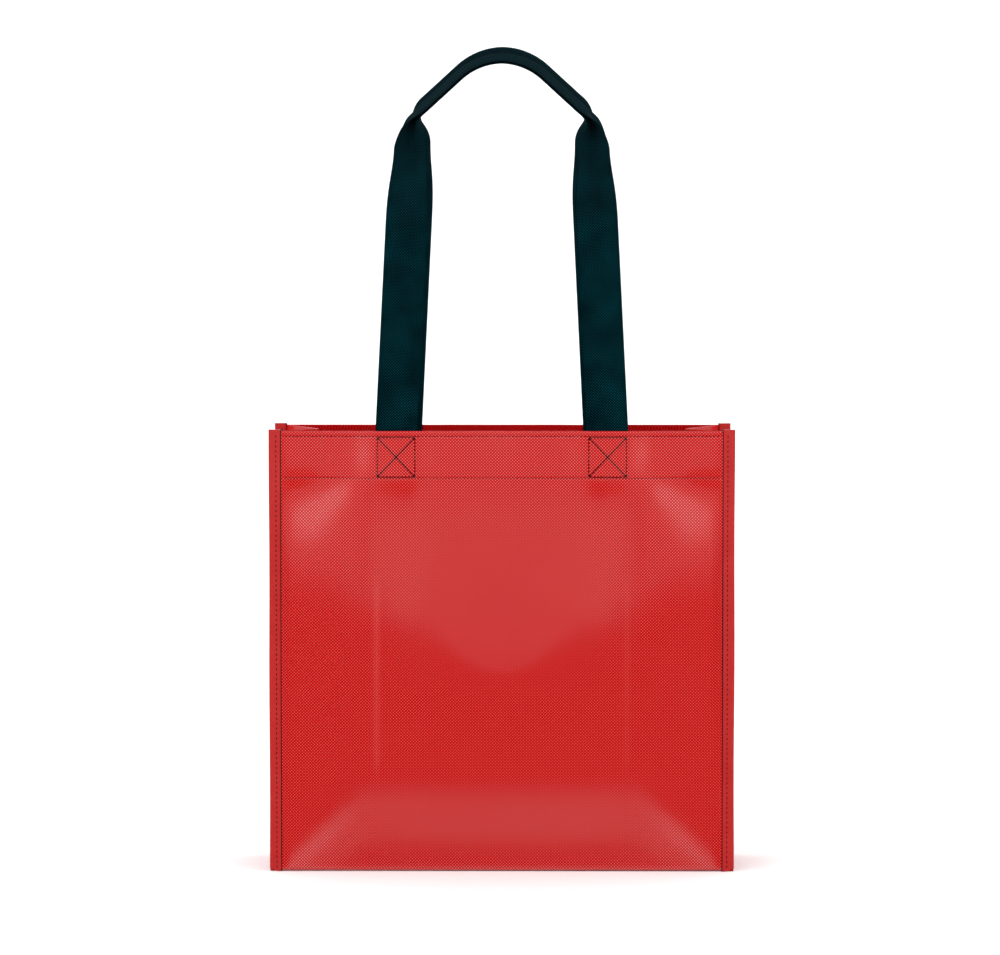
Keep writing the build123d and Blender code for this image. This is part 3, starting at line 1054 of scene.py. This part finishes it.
for wall, facing in walls.items():
    for row, height in zip(("top", "hem"), stitchRows(wall)):
        reach = seamHalf - 3 * mm
        rows = [wallRow(wall, (-reach, height), (reach, height), hemPitch, hemFill)]
        name, node = wall + row.capitalize() + "Stitches", f"{wall}_{row}_stitching"
        finishStitches(name, rows, redThread, wall + "_wall", node)
    for side, way in sides.items():
        node = f"{wall}_{side}_box_stitching"
        low, high = (np.array(corner)[[0, 2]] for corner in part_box(node))
        corners = [(low[0], low[1]), (high[0], low[1]), (high[0], high[1]), (low[0], high[1])]
        rows = [wallRow(wall, corners[k], corners[(k + 1) % 4], *boxRow) for k in range(4)]
        rows += [wallRow(wall, corners[k], corners[k + 2], *crossRow) for k in range(2)]
        name, radius = wall + side.capitalize() + "BoxStitches", stitchSettings["boxRadius"]
        finishStitches(name, rows, blackThread, wall + "_wall", node, radius)

        # both faces of the upright bindings
        half = bindingPitch * bindingFill / 2
        z = spread(bindingTop - 6 * mm, bindingPitch) + 2 * mm
        x = np.full_like(z, way * (seamHalf + bindingSettings["row"]))
        rows = []
        for face, sign in ((bindingFace - 0.25 * mm, 1), (bindingBack + 0.25 * mm, -1)):
            y = facing * (face + bindingSway(side, z))
            starts, ends = (np.stack([x, y, z + shift], axis=-1) for shift in (-half, half))
            rows.append((starts, ends, np.broadcast_to([0.0, facing * sign, 0.0], starts.shape)))
        name = wall + side.capitalize() + "BindingStitches"
        node = f"{wall}_{side}_binding_stitching"
        finishStitches(name, rows, redThread, wall + "_wall", node)

    # seam that closes the folded grip
    length = handleRoute(wall)[1]
    folded = strapSurface(wall, length, np.full_like(length, gripSeam["across"]), True)[2]
    inGrip = length[folded > gripSeam["closed"]]
    count = int((inGrip[-1] - inGrip[0]) / gripSeam["pitch"])
    along = np.linspace(inGrip[0], inGrip[-1], count)
    rows = []
    for sign in (1, -1):
        q = np.full_like(along, sign * gripSeam["across"])
        starts, normals, _ = strapSurface(wall, along - gripSeam["half"], q, True)
        ends = strapSurface(wall, along + gripSeam["half"], q, True)[0]
        rows.append((starts, ends, normals))
    node = wall + "_grip_stitching"
    finishStitches(wall + "GripStitches", rows, blackThread, wall + "_loop", node)

for side, way in sides.items():
    for half in walls:
        rows = []
        for height in stitchRows(half):
            width = gussetSettings["width"][half]
            t = spread(1.0, hemPitch / width)
            t = t[(t > 0.06) & (t < 0.93)]
            z = np.full_like(t, height)
            d = hemPitch * hemFill / 2 / width
            out = gussetSettings["thickness"] / 2
            starts, ends = (gussetPoint(side, half, t + shift, z, out) for shift in (-d, d))
            along = unit(ends - starts)
            normals = unit(np.cross(along, [0, 0, 1.0]))
            normals *= np.sign(normals[:, :1] * way)
            rows.append((starts, ends, normals))
        name = side + "Gusset" + half.capitalize() + "Stitches"
        piece = finishStitches(name, rows, redThread, None, side + "_gusset_stitching")
        blendHalf(piece)

    y = spread(2 * bindingBack - 8 * mm, bindingPitch) - bindingBack + 4 * mm
    x = np.full_like(y, way * (seamHalf + bindingSettings["row"]))
    z = np.full_like(y, baseBindingTop - 0.25 * mm)
    starts, ends = (np.stack([x, y + shift, z], axis=-1) for shift in (-1.2 * mm, 1.2 * mm))
    rows = [(starts, ends, np.broadcast_to([0.0, 0.0, 1.0], starts.shape))]
    node = side + "_bottom_binding_stitching"
    finishStitches(side + "BaseBindingStitches", rows, redThread, "bag_base", node)
print("stitches made")


# base board

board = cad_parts["base_board"]
board.data.materials.clear()
board.data.materials.append(boardFinish())
print("board finished")


# floor, light and camera

studio = {
    "distance": 4.0,  # camera to the front wall
    "eye": 0.604,
    "beside": 0.030,  # camera to the right of the middle
    "aim": (-0.0015, 0.3355),
    "frameWidth": 0.845,  # what the view takes in at the front wall
    "floor": (0.93, 0.93, 0.93),
}
# Brightness of the surrounding light tent at heights in degrees above the horizon.
tent = [
    (-90, 1.3), (-34, 1.5), (-26, 1.6), (-21, 1.05), (-18, 0.74), (-12, 0.05), (-5, 0.04),
    (-1.5, 0.74), (4, 0.84), (10, 1.4), (16, 2.3), (26, 2.6), (38, 1.4), (60, 1.0), (90, 1.0),
]


# A plain sheet that turns up behind the bag.
def makeFloor():
    turn = np.linspace(0, math.pi / 2, 16)
    flat = np.array([[-8.0, 0.0]])
    bend = np.stack([2.5 + 1.5 * np.sin(turn), 1.5 - 1.5 * np.cos(turn)], axis=-1)
    section = np.concatenate([flat, bend, [[4.0, 5.0]]])
    x = np.array([-8.0, 8.0])
    points = np.stack(np.broadcast_arrays(x[None, :], section[:, :1], section[:, 1:]), axis=-1)
    finish = Finish("paleFloor", Roughness=0.9, Base_Color=(*studio["floor"], 1))
    mesh = bpy.data.meshes.new("floor")
    mesh.from_pydata(points.reshape(-1, 3).tolist(), [], gridQuads(len(section), 2).tolist())
    mesh.polygons.foreach_set("use_smooth", np.ones(len(mesh.polygons), bool))
    mesh.materials.append(finish.material)
    floor = addObject("floor", mesh)
    floor.visible_glossy = False  # the tent alone shows in glossy cloth


def aim(item, place, target):
    item.location = place
    item.rotation_euler = (Vector(target) - Vector(place)).to_track_quat("-Z", "Y").to_euler()


def makeLight(name, place, target, size, power):
    data = bpy.data.lights.new(name, "AREA")
    data.shape = "RECTANGLE"
    data.size, data.size_y = size
    data.energy = power
    aim(addObject(name, data), place, target)


makeFloor()
makeLight("keyLight", (-1.1, -2.2, 2.4), (0, 0, 0.3), (1.2, 1.0), 12)


# A light tent whose brightness depends on height alone, and plain white where the camera sees it.
def makeTent():
    world = bpy.data.worlds.new("lightTent")
    world.use_nodes = True
    tree = world.node_tree
    place = tree.nodes.new("ShaderNodeTexCoord")
    apart = tree.nodes.new("ShaderNodeSeparateXYZ")
    tree.links.new(place.outputs["Generated"], apart.inputs[0])
    height = Wire(tree, apart.outputs[2]) * 0.5 + 0.5
    ramp = tree.nodes.new("ShaderNodeValToRGB")
    stops = ramp.color_ramp.elements
    peak = max(level for _, level in tent)
    for number, (angle, level) in enumerate(tent):
        position = math.sin(math.radians(angle)) * 0.5 + 0.5
        stop = stops[number] if number < 2 else stops.new(position)
        stop.position, stop.color = position, (level / peak, level / peak, level / peak, 1)
    tree.links.new(height.socket, ramp.inputs[0])
    sight = tree.nodes.new("ShaderNodeLightPath")
    shown = Wire(tree, ramp.outputs[0]) * peak
    seen = Wire(tree, sight.outputs["Is Camera Ray"])
    level = shown * (1 - seen) + seen
    tree.links.new(level.socket, tree.nodes["Background"].inputs["Strength"])
    tree.nodes["Background"].inputs["Color"].default_value = (1, 1, 1, 1)
    bpy.context.scene.world = world


makeTent()
bpy.context.scene.view_settings.view_transform = "Standard"

camera = addObject("camera", bpy.data.cameras.new("camera"))
bpy.context.scene.camera = camera
aimX, aimZ = studio["aim"]
eye = studio["beside"], -wallFace - studio["distance"], studio["eye"]
aim(camera, eye, (aimX, -wallFace, aimZ))
reach = math.hypot(studio["distance"], studio["eye"] - aimZ)
camera.data.lens = camera.data.sensor_width * reach / studio["frameWidth"]
camera.data.clip_end = 50
print("studio made")
